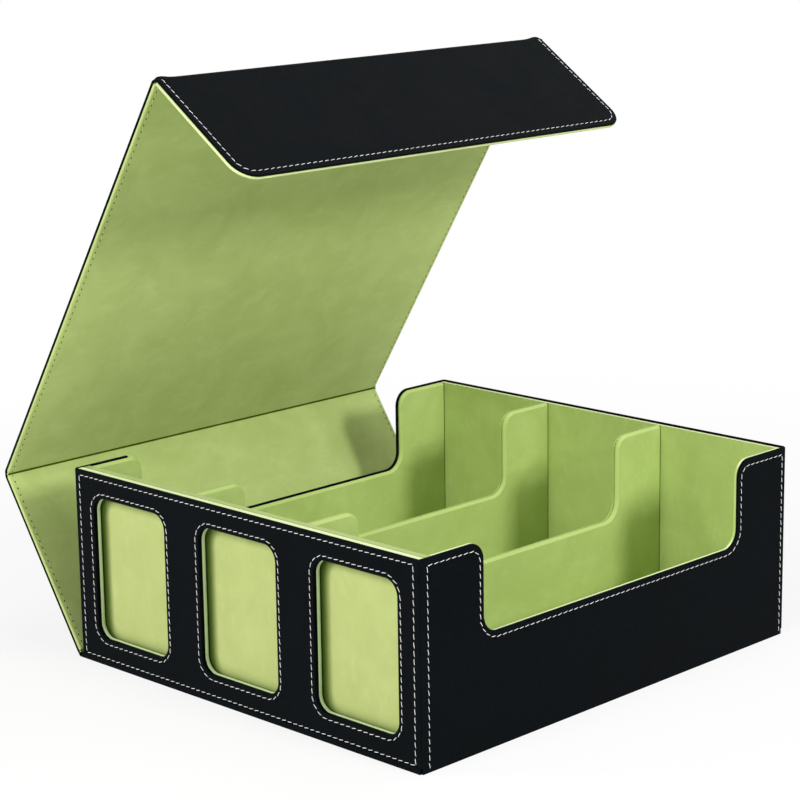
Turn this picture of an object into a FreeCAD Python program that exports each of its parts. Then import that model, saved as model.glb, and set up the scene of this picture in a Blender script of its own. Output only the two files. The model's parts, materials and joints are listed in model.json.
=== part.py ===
"""Trading card tray with three compartments, display windows and a wraparound cover.

Frame: origin at the middle of the underside, +Z up, the windows face -Y and the
cover closes over the +X side. The cover is hinged along the -X side and is modelled
half open. Millimetres and degrees.
"""
import FreeCAD, Part
import os
import re

import Sketcher

SIZES = [
    # the tray
    ("tray_width", "265.4", "outside of the tray along X"),
    ("tray_depth", "296.6", "outside of the tray, and of the cover, along Y"),
    ("tray_height", "110", "top edge of the walls above the table"),
    ("leather_gauge", "1.2", "leather on the outside of walls and cover"),
    ("suede_gauge", "0.8", "suede on the inside of walls and cover"),
    ("wall_board", "1.9", "greyboard of the left, right and back walls"),
    ("divider_board", "3.2", "greyboard of the two dividers"),
    ("floor_board", "2", "greyboard that the dividers stand on"),
    ("scoop_floor", "61.3", "lowest edge of the scooped walls above the table"),
    ("front_land", "46.2", "full-height stretch of a scooped wall at the front"),
    ("back_land", "44", "full-height stretch of a scooped wall at the back"),
    ("scoop_radius", "10", "hollow corner at each end of a scoop"),
    ("crest_radius", "9.7", "round corner where a scoop leaves the top edge"),
    ("skin_bevel", "0.5", "trimmed outer edge of the tray's leather"),
    ("rim_lip", "0.7", "how far the left and back walls' leather stands above the suede"),
    ("lining_bevel", "1.3", "inner edge of the suede over a side wall"),
    ("divider_bevel", "1.4", "upper edges of the suede over a divider"),
    ("wall_seam", "0.4", "joint line where a wall or divider meets the next"),
    # the window wall
    ("frame_board", "2.6", "greyboard with the three windows"),
    ("backing_board", "1.4", "greyboard behind the card slots"),
    ("slot_gap", "1.4", "room for a card between frame and backing"),
    ("slot_mouth", "0.5", "gap left between the two hems at the top"),
    ("hem_height", "4", "height of the thick suede hem at the slots' mouth"),
    ("window_width", "59.1", "clear width of a window"),
    ("window_height", "81.1", "clear height of a window"),
    ("window_sill", "15.3", "lower edge of the windows above the table"),
    ("window_margin", "15.55", "from the tray's side to the nearest window"),
    ("window_radius", "8.5", "corner of a window"),
    ("reveal_wrap", "0.8", "leather or suede turned into a window"),
    ("leather_reveal", "2.4", "how deep the leather is turned into a window"),
    ("card_width", "66", "clear width of a card slot"),
    ("card_seat", "12", "bottom of a card slot above the table"),
    # the cover
    ("base_leather_gauge", "1", "leather under the tray and round its rim"),
    ("base_board", "2.2", "greyboard under the tray"),
    ("hinge_strip", "12", "suede strip of the cover that reaches under the tray"),
    ("cover_board", "1.2", "greyboard of the spine, lid and flap"),
    ("fold_setback", "2.2", "from a fold's axis to the end of a board"),
    ("lid_clearance", "2.5", "gap between tray and lid when closed"),
    ("lid_overhang", "6.9", "from the tray's right face to the flap's fold"),
    ("flap_foot", "34.5", "free edge of the closed flap above the table"),
    ("flap_corner", "12.5", "free corner of the flap"),
    ("hem_round", "1.1", "round of the suede edge of a cover panel"),
    ("leather_bevel", "0.45", "trimmed edge of a cover panel's leather"),
    ("spine_angle", "123.3", "slope of the spine as modelled, 90 when closed"),
    ("lid_angle", "58.1", "slope of the lid as modelled, 0 when closed"),
    ("flap_inside_angle", "87", "angle between lid and flap as modelled"),
    # the magnets
    ("magnet_diameter", "12", "disc magnet"),
    ("magnet_thickness", "1", "disc magnet"),
    ("magnet_inset", "13", "from the flap's free edge to a magnet's middle"),
    ("magnet_spacing", "150", "between the two magnets"),
]
ALIASES = {alias for alias, _, _ in SIZES}

# Derived sizes, as formulas of the sheet's cells.
COVER = "(leather_gauge + cover_board + suede_gauge)"
FOLD_RADIUS = f"({COVER} / 2)"
BASE_TOP = "(base_leather_gauge + base_board)"
FLOOR_TOP = f"({BASE_TOP} + floor_board)"
WALL = "(leather_gauge + wall_board + suede_gauge)"
DIVIDER = "(divider_board + 2 * suede_gauge)"
FRAME = "(leather_gauge + frame_board + suede_gauge)"
BACKING = "(backing_board + 2 * suede_gauge)"
FRONT_WALL = f"({FRAME} + slot_gap + {BACKING})"
COMPARTMENT = f"((tray_width - 2 * {WALL} - 2 * {DIVIDER}) / 3)"
WINDOW_PITCH = "((tray_width - window_width) / 2 - window_margin)"
SPINE_LENGTH = "(tray_height + lid_clearance)"
LID_LENGTH = "(tray_width + fold_setback + lid_overhang)"
FLAP_LENGTH = f"({FOLD_RADIUS} + {SPINE_LENGTH} - flap_foot)"
FLAP_ANGLE = "(lid_angle - 180 + flap_inside_angle)"

# The three folds' axes run along Y through these points.
BASE_FOLD = ("-(tray_width / 2 + fold_setback)", FOLD_RADIUS)
SPINE_FOLD = (
    f"({BASE_FOLD[0]} + {SPINE_LENGTH} * cos(spine_angle * 1deg))",
    f"({BASE_FOLD[1]} + {SPINE_LENGTH} * sin(spine_angle * 1deg))",
)
FLAP_FOLD = (
    f"({SPINE_FOLD[0]} + {LID_LENGTH} * cos(lid_angle * 1deg))",
    f"({SPINE_FOLD[1]} + {LID_LENGTH} * sin(lid_angle * 1deg))",
)

NEAR = 0.01  # two coordinates closer than this are the same

doc = FreeCAD.newDocument("CardTray")
sheet = doc.addObject("Spreadsheet::Sheet", "Sizes")
for row, (alias, number, meaning) in enumerate(SIZES, start=1):
    sheet.set(f"A{row}", meaning)
    sheet.set(f"B{row}", number)
    sheet.setAlias(f"B{row}", alias)
doc.recompute()

nodes = []


# ---------------------------------------------------------------- helpers


def sized(formula):
    """Write each size's name in a formula as a cell of the sheet."""
    return re.sub(r"[a-z_]+", lambda word: f"Sizes.{word[0]}" if word[0] in ALIASES else word[0], formula)


def bind(item, **formulas):
    """Tie properties of an item to formulas."""
    for name, formula in formulas.items():
        item.setExpression(name, sized(formula))


def place(item, x, y, z):
    """Put an item's origin at a point given by formulas."""
    item.setExpression("Placement.Base.x", sized(x))
    item.setExpression("Placement.Base.y", sized(y))
    item.setExpression("Placement.Base.z", sized(z))
    return item


def keep(item):
    """Count an item as one finished piece of the product."""
    nodes.append(item)
    return item


def box(label, corner, lengths):
    """Make a block from its lowest corner and its lengths."""
    block = doc.addObject("Part::Box", label)
    bind(block, Length=lengths[0], Width=lengths[1], Height=lengths[2])
    return place(block, *corner)


def cut(label, base, *tools):
    """Take the tools' shapes out of the base."""
    for count, tool in enumerate(tools, start=1):
        result = doc.addObject("Part::Cut", label if count == len(tools) else f"{label}_step_{count}")
        result.Base = base
        result.Tool = tool
        base = result
    return base


def new_body(label):
    """Make an empty body."""
    return doc.addObject("PartDesign::Body", label)


def new_sketch(body, role, lift="0"):
    """Make a sketch on one of the body's origin planes, lifted along its normal."""
    plane = next(item for item in body.Origin.OriginFeatures if item.Role == role)
    sketch = body.newObject("Sketcher::SketchObject", "Outline")
    sketch.AttachmentSupport = (plane, [""])
    sketch.MapMode = "FlatFace"
    sketch.setExpression("AttachmentOffset.Base.z", sized(lift))
    return sketch


def constrain(sketch, kind, references, formula):
    """Add a dimension to a sketch and tie it to a formula."""
    index = sketch.addConstraint(Sketcher.Constraint(kind, *references, 10.0))
    sketch.setExpression(f"Constraints[{index}]", sized(formula))


def rectangle(sketch, left, low, width, height):
    """Draw a rectangle from its lowest corner and its lengths."""
    corners = [FreeCAD.Vector(x, y, 0) for x, y in ((10, 10), (20, 10), (20, 20), (10, 20))]
    for start, end in zip(corners, corners[1:] + corners[:1]):
        sketch.addGeometry(Part.LineSegment(start, end), False)
    for side in range(4):
        sketch.addConstraint(Sketcher.Constraint("Coincident", side, 2, (side + 1) % 4, 1))
        sketch.addConstraint(Sketcher.Constraint("Horizontal" if side % 2 == 0 else "Vertical", side))
    constrain(sketch, "DistanceX", (-1, 1, 0, 1), left)
    constrain(sketch, "DistanceY", (-1, 1, 0, 1), low)
    constrain(sketch, "DistanceX", (0, 1, 0, 2), width)
    constrain(sketch, "DistanceY", (1, 1, 1, 2), height)


def pad(body, sketch, length):
    """Raise a sketch into the body along +X, +Y or +Z."""
    feature = body.newObject("PartDesign::Pad", "Pad")
    feature.Profile = sketch
    feature.Reversed = sketch.AttachmentSupport[0][0].Role == "XZ_Plane"
    bind(feature, Length=length)
    doc.recompute()
    return feature


def pocket_through(body, sketch):
    """Cut a sketch right through what stands on its plane."""
    before = body.Shape.Volume
    feature = body.newObject("PartDesign::Pocket", "Pocket")
    feature.Profile = sketch
    feature.Type = "ThroughAll"
    feature.Reversed = sketch.AttachmentSupport[0][0].Role != "XZ_Plane"
    doc.recompute()
    if body.Shape.Volume >= before:
        raise ValueError(f"{body.Label}: the pocket cuts nothing")
    return feature


def edges_of(body, chosen):
    """Return the body's last feature with its edges for which chosen(edge, bounds) holds."""
    shape = body.Tip.Shape
    names = [
        f"Edge{number}"
        for number, edge in enumerate(shape.Edges, start=1)
        if chosen(edge, shape.BoundBox)
    ]
    return body.Tip, names


def round_edges(body, chosen, radius):
    """Round the body's edges for which chosen(edge, bounds) holds."""
    base = edges_of(body, chosen)
    feature = body.newObject("PartDesign::Fillet", "Fillet")
    feature.Base = base
    bind(feature, Radius=radius)
    doc.recompute()


def bevel_edges(body, chosen, size):
    """Bevel the body's edges for which chosen(edge, bounds) holds."""
    base = edges_of(body, chosen)
    feature = body.newObject("PartDesign::Chamfer", "Chamfer")
    feature.Base = base
    bind(feature, Size=size)
    doc.recompute()


def spans(edge):
    """Return an edge's lengths along X, Y and Z."""
    limits = edge.BoundBox
    return limits.XLength, limits.YLength, limits.ZLength


def runs_along(edge, axis):
    """Tell whether a straight edge is parallel to axis 0, 1 or 2."""
    return all((length > NEAR) == (number == axis) for number, length in enumerate(spans(edge)))


# ---------------------------------------------------------------- scooped walls


def scooped_panel(label, x, thickness, start, end, low, inset):
    """Make an upright panel across X whose top edge dips between two full-height lands.

    start and end are its distances from the tray's front and back faces, low is its
    foot above the table, and inset is how far it stays inside the finished outline.
    """
    body = new_body(label)
    place(body, x, "-tray_depth / 2", "0")
    outline = new_sketch(body, "YZ_Plane")
    rectangle(outline, start, low, f"tray_depth - {start} - {end}", f"tray_height - {inset} - {low}")
    pad(body, outline, thickness)
    scoop = new_sketch(body, "YZ_Plane")
    rectangle(
        scoop,
        f"front_land - {inset}",
        f"scoop_floor - {inset}",
        f"tray_depth - front_land - back_land + 2 * {inset}",
        "tray_height",
    )
    pocket_through(body, scoop)

    def hollow(edge, bounds):
        height = edge.BoundBox.Center.z
        return runs_along(edge, 0) and bounds.ZMin + NEAR < height < bounds.ZMax - NEAR

    def crest(edge, bounds):
        depth = edge.BoundBox.Center.y
        inside = bounds.YMin + NEAR < depth < bounds.YMax - NEAR
        return runs_along(edge, 0) and inside and edge.BoundBox.Center.z > bounds.ZMax - NEAR

    round_edges(body, hollow, f"scoop_radius + {inset}")
    round_edges(body, crest, f"crest_radius - {inset}")
    return body


def soften_scoop(body, at_low_x, size):
    """Bevel the scooped top edge of a panel on its face at low or high X."""

    def top_edge(edge, bounds):
        centre = edge.BoundBox.Center
        level = bounds.XMin if at_low_x else bounds.XMax
        on_face = spans(edge)[0] < NEAR and abs(centre.x - level) < NEAR
        return on_face and centre.z > bounds.ZMin + NEAR and not at_panel_end(centre, bounds)

    bevel_edges(body, top_edge, size)


def at_panel_end(point, bounds):
    """Tell whether a point lies on a panel's front or back end."""
    return min(point.y - bounds.YMin, bounds.YMax - point.y) < NEAR


def side_wall(name, side, leather_foot, lip, magnets=()):
    """Make a side wall's leather, board and suede, which wraps over the board's top edge.

    side is -1 for the left wall and 1 for the right one. lip is how far the leather
    stands above the suede.
    """
    at_right = side > 0
    leather_x = "tray_width / 2 - leather_gauge" if at_right else "-tray_width / 2"
    core_x = "tray_width / 2 - leather_gauge - wall_board" if at_right else "-tray_width / 2 + leather_gauge"
    wrap_x = f"tray_width / 2 - {WALL}" if at_right else "-tray_width / 2 + leather_gauge"
    inner = (f"({FRONT_WALL} + wall_seam)", f"({WALL} + wall_seam)", BASE_TOP)
    leather = scooped_panel(f"{name}_leather", leather_x, "leather_gauge", "leather_gauge",
                            "leather_gauge", leather_foot, "0")
    soften_scoop(leather, not at_right, "skin_bevel")
    core = scooped_panel(f"{name}_core", core_x, "wall_board", *inner, f"(suede_gauge + {lip})")
    wrap = scooped_panel(f"{name}_wrap", wrap_x, "wall_board + suede_gauge", *inner, lip)
    soften_scoop(wrap, at_right, "lining_bevel")
    keep(leather)
    keep(cut(f"{name}_lining", wrap, core))
    if magnets:
        core = cut(f"{name}_board", core, *magnets)
    else:
        core.Label = f"{name}_board"
    keep(core)


def divider(number, side):
    """Make a divider's board and the suede folded over it. side is -1 or 1."""
    left = f"{side} * ({COMPARTMENT} + {DIVIDER}) / 2 - {DIVIDER} / 2"
    inner = (f"({FRONT_WALL} + wall_seam)", f"({WALL} + wall_seam)", FLOOR_TOP)
    core = scooped_panel(f"divider_{number}_board", f"{left} + suede_gauge", "divider_board",
                         *inner, "(suede_gauge + rim_lip)")
    wrap = scooped_panel(f"divider_{number}_wrap", left, DIVIDER, *inner, "rim_lip")
    soften_scoop(wrap, True, "divider_bevel")
    soften_scoop(wrap, False, "divider_bevel")
    keep(core)
    keep(cut(f"divider_{number}_lining", wrap, core))


# ---------------------------------------------------------------- back wall and floor


def flat_skin(label, depth_start):
    """Make a full-width leather skin for the front or the back."""
    body = new_body(label)
    place(body, "-tray_width / 2", depth_start, "0")
    outline = new_sketch(body, "XZ_Plane")
    rectangle(outline, "0", BASE_TOP, "tray_width", f"tray_height - {BASE_TOP}")
    pad(body, outline, "leather_gauge")
    return body


def trim_skin(body, at_front):
    """Bevel every edge of a skin's outer face, windows included."""

    def on_outer_face(edge, bounds):
        face = bounds.YMin if at_front else bounds.YMax
        return spans(edge)[1] < NEAR and abs(edge.BoundBox.Center.y - face) < NEAR

    bevel_edges(body, on_outer_face, "skin_bevel")


def back_wall():
    """Make the plain back wall: leather, board, and suede over the board's top edge."""
    leather = keep(flat_skin("back_wall_leather", "tray_depth / 2 - leather_gauge"))
    trim_skin(leather, at_front=False)
    left = "-tray_width / 2 + leather_gauge"
    width = "tray_width - 2 * leather_gauge"
    core = box(
        "back_wall_board",
        (left, "tray_depth / 2 - leather_gauge - wall_board", BASE_TOP),
        (width, "wall_board", f"tray_height - rim_lip - suede_gauge - {BASE_TOP}"),
    )
    wrap = box(
        "back_wall_wrap",
        (left, f"tray_depth / 2 - {WALL}", BASE_TOP),
        (width, "wall_board + suede_gauge", f"tray_height - rim_lip - {BASE_TOP}"),
    )
    keep(core)
    keep(cut("back_wall_lining", wrap, core))


def floor():
    """Make the floor board and a suede lining in each compartment."""
    front = f"-tray_depth / 2 + {FRONT_WALL}"
    depth = f"tray_depth - {FRONT_WALL} - {WALL}"
    keep(box("floor_board", (f"-tray_width / 2 + {WALL}", front, BASE_TOP),
             (f"tray_width - 2 * {WALL}", depth, "floor_board")))
    for number in range(3):
        left = f"-tray_width / 2 + {WALL} + {number} * ({COMPARTMENT} + {DIVIDER})"
        keep(box(f"floor_lining_{number + 1}", (left, front, FLOOR_TOP),
                 (COMPARTMENT, depth, "suede_gauge")))


# ---------------------------------------------------------------- window wall


def cut_windows(body, grow):
    """Cut the row of three windows, each larger than its clear size by grow on every side."""
    window = new_sketch(body, "XZ_Plane")
    rectangle(window, f"window_margin - {grow}",
              f"window_sill - {grow}", f"window_width + 2 * {grow}", f"window_height + 2 * {grow}")
    opening = pocket_through(body, window)
    row = body.newObject("PartDesign::LinearPattern", "WindowRow")
    row.Originals = [opening]
    row.Direction = (window, ["H_Axis"])
    row.Occurrences = 3
    bind(row, Length=f"2 * {WINDOW_PITCH}")
    body.Tip = row
    doc.recompute()

    def corner(edge, bounds):
        place_x = edge.BoundBox.Center.x
        place_z = edge.BoundBox.Center.z
        inside = bounds.XMin + NEAR < place_x < bounds.XMax - NEAR
        return runs_along(edge, 1) and inside and bounds.ZMin + NEAR < place_z < bounds.ZMax - NEAR

    round_edges(body, corner, f"window_radius + {grow}")


def window_frame():
    """Make the frame's board, leather and suede, which meet inside each window's reveal."""
    foot = BASE_TOP
    core_width = "tray_width - 2 * leather_gauge"
    core_height = f"tray_height - suede_gauge - {foot}"

    core = new_body("front_frame_board")
    place(core, "-tray_width / 2", "-tray_depth / 2 + leather_gauge", "0")
    outline = new_sketch(core, "XZ_Plane")
    rectangle(outline, "leather_gauge", foot, core_width, core_height)
    pad(core, outline, "frame_board")
    cut_windows(core, "reveal_wrap")

    skin = flat_skin("front_frame_skin", "-tray_depth / 2")
    turned_in = new_sketch(skin, "XZ_Plane")
    rectangle(turned_in, "leather_gauge", foot, core_width, core_height)
    pad(skin, turned_in, "leather_reveal")
    cut_windows(skin, "0")
    trim_skin(skin, at_front=True)
    leather = cut("front_frame_leather", skin, core)

    wrap = new_body("front_frame_wrap")
    place(wrap, "-tray_width / 2", "-tray_depth / 2 + leather_gauge", "0")
    wrap_outline = new_sketch(wrap, "XZ_Plane")
    rectangle(wrap_outline, "leather_gauge", foot, core_width, f"tray_height - {foot}")
    pad(wrap, wrap_outline, "frame_board + suede_gauge")
    cut_windows(wrap, "0")
    keep(core)
    keep(leather)
    keep(cut("front_frame_lining", wrap, core, leather))


def card_slots():
    """Make the strips between frame and backing that keep a card behind each window."""
    front = f"-tray_depth / 2 + {FRAME}"
    left = "-tray_width / 2 + leather_gauge"
    keep(box("slot_spacer_bottom", (left, front, BASE_TOP),
             ("tray_width - 2 * leather_gauge", "slot_gap", f"card_seat - {BASE_TOP}")))
    height = "tray_height - hem_height - card_seat"
    end_width = "window_margin - leather_gauge - (card_width - window_width) / 2"
    between = f"{WINDOW_PITCH} - card_width"
    starts = [
        left,
        f"-{WINDOW_PITCH} + card_width / 2",
        "card_width / 2",
        f"{WINDOW_PITCH} + card_width / 2",
    ]
    widths = [end_width, between, between, end_width]
    for number, (start, width) in enumerate(zip(starts, widths), start=1):
        keep(box(f"slot_spacer_{number}", (start, front, "card_seat"), (width, "slot_gap", height)))


def slot_backing():
    """Make the board behind the slots and its suede, hemmed thick along the slots' mouth."""
    left = "-tray_width / 2 + leather_gauge"
    width = "tray_width - 2 * leather_gauge"
    front = f"(-tray_depth / 2 + {FRAME} + slot_gap)"
    core = box("front_backing_board", (left, f"{front} + suede_gauge", BASE_TOP),
               (width, "backing_board", f"tray_height - suede_gauge - {BASE_TOP}"))
    wrap = new_body("front_backing_wrap")
    place(wrap, left, front, "0")
    outline = new_sketch(wrap, "XZ_Plane")
    rectangle(outline, "0", BASE_TOP, width, f"tray_height - {BASE_TOP}")
    pad(wrap, outline, BACKING)
    hem = new_sketch(wrap, "XZ_Plane", "slot_gap - slot_mouth")
    rectangle(hem, "0", "tray_height - hem_height", width, "hem_height")
    pad(wrap, hem, "slot_gap - slot_mouth")
    keep(core)
    keep(cut("front_backing_lining", wrap, core))


# ---------------------------------------------------------------- cover


def on_fold(body, fold, slope):
    """Put a cover panel's frame on a fold: X along the panel, Y along the fold, Z outward."""
    place(body, fold[0], "0", fold[1])
    body.Placement = FreeCAD.Placement(
        body.Placement.Base, FreeCAD.Rotation(FreeCAD.Vector(0, 1, 0), -45)
    )
    body.setExpression("Placement.Rotation.Angle", sized(f"-({slope}) * 1deg"))


def panel_slab(label, fold, slope, length, side_inset, end_inset, lift, thickness, corner=None):
    """Make one layer of a cover panel, with round free corners where a corner is given."""
    body = new_body(label)
    on_fold(body, fold, slope)
    outline = new_sketch(body, "XY_Plane", lift)
    rectangle(outline, "fold_setback", f"-tray_depth / 2 + {side_inset}",
              f"{length} - fold_setback - {end_inset}", f"tray_depth - 2 * {side_inset}")
    pad(body, outline, thickness)
    if corner:

        def free_corner(edge, bounds):
            return runs_along(edge, 2) and edge.BoundBox.Center.x > bounds.XMax - NEAR

        round_edges(body, free_corner, corner)
    return body


def soften_rim(body, upper, with_end, soften, size):
    """Round or bevel a layer's outline on its upper or lower face, but not along the folds."""

    def rim(edge, bounds):
        level = bounds.ZMax if upper else bounds.ZMin
        flat = spans(edge)[2] < NEAR and abs(edge.BoundBox.Center.z - level) < NEAR
        across = runs_along(edge, 1)
        at_free_end = edge.BoundBox.Center.x > bounds.XMax - NEAR
        return flat and (not across or (with_end and at_free_end))

    soften(body, rim, size)


def cover_panel(name, fold, slope, length, free, magnets=()):
    """Make a cover panel: board, leather outside, suede turned up round the board's edges.

    free is True for the flap, whose far end is a free edge and not a fold.
    """
    low = f"-{FOLD_RADIUS}"
    end = "0" if free else "fold_setback"
    board_end = "suede_gauge" if free else "fold_setback"
    leather = panel_slab(f"{name}_leather", fold, slope, length, "0", end,
                         f"{FOLD_RADIUS} - leather_gauge", "leather_gauge",
                         "flap_corner" if free else None)
    soften_rim(leather, True, free, bevel_edges, "leather_bevel")
    core = panel_slab(f"{name}_core", fold, slope, length, "suede_gauge", board_end,
                      f"{low} + suede_gauge", "cover_board",
                      "flap_corner - suede_gauge" if free else None)
    wrap = panel_slab(f"{name}_wrap", fold, slope, length, "0", end, low,
                      "suede_gauge + cover_board", "flap_corner" if free else None)
    soften_rim(wrap, False, free, round_edges, "hem_round")
    keep(leather)
    keep(cut(f"{name}_lining", wrap, core))
    if magnets:
        core = cut(f"{name}_board", core, *magnets)
    else:
        core.Label = f"{name}_board"
    keep(core)


def fold_roll(label, fold):
    """Make the round leather fold that closes the gap between two boards."""
    roll = doc.addObject("Part::Cylinder", label)
    bind(roll, Radius=FOLD_RADIUS, Height="tray_depth")
    roll.Placement = FreeCAD.Placement(
        FreeCAD.Vector(), FreeCAD.Rotation(FreeCAD.Vector(1, 0, 0), -90)
    )
    place(roll, fold[0], "-tray_depth / 2", fold[1])
    return keep(roll)


def cover_base(roll):
    """Make the part of the cover under the tray: leather shell, board and hinge strip."""
    start = BASE_FOLD[0]
    strip_end = "(-tray_width / 2 + hinge_strip)"
    shell_end = "(tray_width / 2 - leather_gauge)"
    board = box(
        "base_board",
        (strip_end, "-tray_depth / 2 + base_leather_gauge", "base_leather_gauge"),
        (
            f"{shell_end} - base_leather_gauge - {strip_end}",
            "tray_depth - 2 * base_leather_gauge",
            "base_board",
        ),
    )
    strip = box(
        "hinge_strip_blank",
        (start, "-tray_depth / 2 + base_leather_gauge", "base_leather_gauge"),
        (f"{strip_end} - {start}", "tray_depth - 2 * base_leather_gauge", "base_board"),
    )
    shell = box("base_leather_blank", (start, "-tray_depth / 2", "0"),
                (f"{shell_end} - {start}", "tray_depth", BASE_TOP))
    keep(board)
    strip_piece = keep(cut("base_hinge_lining", strip, roll))
    keep(cut("base_leather", shell, board, strip_piece, roll))


# ---------------------------------------------------------------- magnets


def disc(label, body, along, across, lift, role):
    """Make a disc magnet on a plane of its body's frame."""
    sketch = new_sketch(body, role, lift)
    sketch.addGeometry(Part.Circle(FreeCAD.Vector(10, 10, 0), FreeCAD.Vector(0, 0, 1), 5), False)
    constrain(sketch, "DistanceX", (-1, 1, 0, 3), along)
    constrain(sketch, "DistanceY", (-1, 1, 0, 3), across)
    constrain(sketch, "Diameter", (0,), "magnet_diameter")
    pad(body, sketch, "magnet_thickness")
    body.Label = label
    return keep(body)


def flap_magnets():
    """Make the two magnets let into the inner face of the flap's board."""
    made = []
    for number, side in ((1, -1), (2, 1)):
        body = new_body(f"flap_magnet_{number}")
        on_fold(body, FLAP_FOLD, FLAP_ANGLE)
        made.append(disc(f"flap_magnet_{number}", body, f"{FLAP_LENGTH} - magnet_inset",
                         f"{side} * magnet_spacing / 2", f"-{FOLD_RADIUS} + suede_gauge", "XY_Plane"))
    return made


def wall_magnets():
    """Make the two magnets in the right wall that the closed flap's magnets meet."""
    made = []
    for number, side in ((1, -1), (2, 1)):
        body = new_body(f"wall_magnet_{number}")
        place(body, "tray_width / 2 - leather_gauge - magnet_thickness", "0", "0")
        made.append(disc(f"wall_magnet_{number}", body, f"{side} * magnet_spacing / 2",
                         "flap_foot + magnet_inset", "0", "YZ_Plane"))
    return made


# ---------------------------------------------------------------- the product


def build():
    """Build every piece of the product."""
    base_roll = fold_roll("fold_base", BASE_FOLD)
    cover_base(base_roll)
    floor()
    side_wall("left_wall", -1, BASE_TOP, "rim_lip")
    side_wall("right_wall", 1, "0", "0", wall_magnets())
    back_wall()
    window_frame()
    card_slots()
    slot_backing()
    divider(1, -1)
    divider(2, 1)
    cover_panel("spine", BASE_FOLD, "spine_angle", SPINE_LENGTH, False)
    fold_roll("fold_spine", SPINE_FOLD)
    cover_panel("lid", SPINE_FOLD, "lid_angle", LID_LENGTH, False)
    fold_roll("fold_flap", FLAP_FOLD)
    cover_panel("flap", FLAP_FOLD, FLAP_ANGLE, FLAP_LENGTH, True, flap_magnets())


def check():
    """Stop if any object failed or any piece is not one valid solid."""
    for item in doc.Objects:
        if "Invalid" in item.State or "Error" in item.State:
            raise ValueError(f"{item.Label}: {item.State}")
    for item in nodes:
        shape = item.Shape
        if shape.isNull() or not shape.isValid() or len(shape.Solids) != 1:
            raise ValueError(f"{item.Label}: not one valid solid")


def write():
    """Write each piece to parts/ under its own name."""
    os.makedirs("parts", exist_ok=True)
    for item in nodes:
        item.Shape.exportStep(f"parts/{item.Label}.step")


build()
doc.recompute()
check()
write()
print(f"{len(nodes)} pieces")
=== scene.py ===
"""Dresses the card tray: black leather, green suede, thread, folds, studio and camera.

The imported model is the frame. The tray's and cover's boards, leathers and linings stay
as they are and get their materials here. The seams' stitches and the soft folds of the
cover are built as new pieces. All lengths are in metres.
"""

import json
import logging
import math
import random
from dataclasses import dataclass, field, replace
from enum import Enum

import bmesh
import bpy
from mathutils import Matrix, Vector

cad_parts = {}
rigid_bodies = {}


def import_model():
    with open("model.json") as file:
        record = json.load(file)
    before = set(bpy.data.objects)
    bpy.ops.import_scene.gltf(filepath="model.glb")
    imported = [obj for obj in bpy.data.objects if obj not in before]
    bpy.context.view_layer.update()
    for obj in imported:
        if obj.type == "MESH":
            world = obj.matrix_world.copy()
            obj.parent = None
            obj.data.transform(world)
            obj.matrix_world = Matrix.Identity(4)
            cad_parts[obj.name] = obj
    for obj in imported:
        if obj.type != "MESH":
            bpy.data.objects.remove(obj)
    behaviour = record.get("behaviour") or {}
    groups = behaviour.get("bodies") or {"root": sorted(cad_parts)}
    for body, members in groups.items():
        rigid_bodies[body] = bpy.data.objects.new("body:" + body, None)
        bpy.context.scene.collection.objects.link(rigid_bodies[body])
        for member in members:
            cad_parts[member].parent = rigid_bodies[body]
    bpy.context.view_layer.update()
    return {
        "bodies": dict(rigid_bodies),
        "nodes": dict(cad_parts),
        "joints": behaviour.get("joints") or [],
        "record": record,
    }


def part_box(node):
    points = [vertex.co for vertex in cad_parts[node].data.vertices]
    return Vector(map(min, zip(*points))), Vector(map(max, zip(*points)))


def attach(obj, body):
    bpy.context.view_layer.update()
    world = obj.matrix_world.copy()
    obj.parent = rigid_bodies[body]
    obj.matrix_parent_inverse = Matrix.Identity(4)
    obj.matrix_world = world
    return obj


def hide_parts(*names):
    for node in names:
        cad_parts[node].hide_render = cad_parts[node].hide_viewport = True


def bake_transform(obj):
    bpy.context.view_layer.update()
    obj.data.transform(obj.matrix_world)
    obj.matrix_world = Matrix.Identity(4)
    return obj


log = logging.getLogger("card_tray")

Color = tuple[float, float, float]
Section = tuple[tuple[float, float], ...]
Shape = bmesh.types.BMesh
Piece = bpy.types.Object
Socket = bpy.types.NodeSocket
MM = 0.001


# ------------------------------------------------------------------ colours and nodes


def srgb(red: int, green: int, blue: int) -> Color:
    """Turn an 8-bit display colour into the linear one that a shader takes.

    Args:
        red: Red, 0 to 255.
        green: Green, 0 to 255.
        blue: Blue, 0 to 255.

    Returns:
        The linear colour.
    """

    def linear(value: int) -> float:
        """Undo the display curve for one channel."""
        share = value / 255
        return share / 12.92 if share <= 0.04045 else ((share + 0.055) / 1.055) ** 2.4

    return linear(red), linear(green), linear(blue)


def opaque(color: Color) -> tuple[float, float, float, float]:
    """Add full alpha to a colour."""
    return (*color, 1.0)


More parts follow.
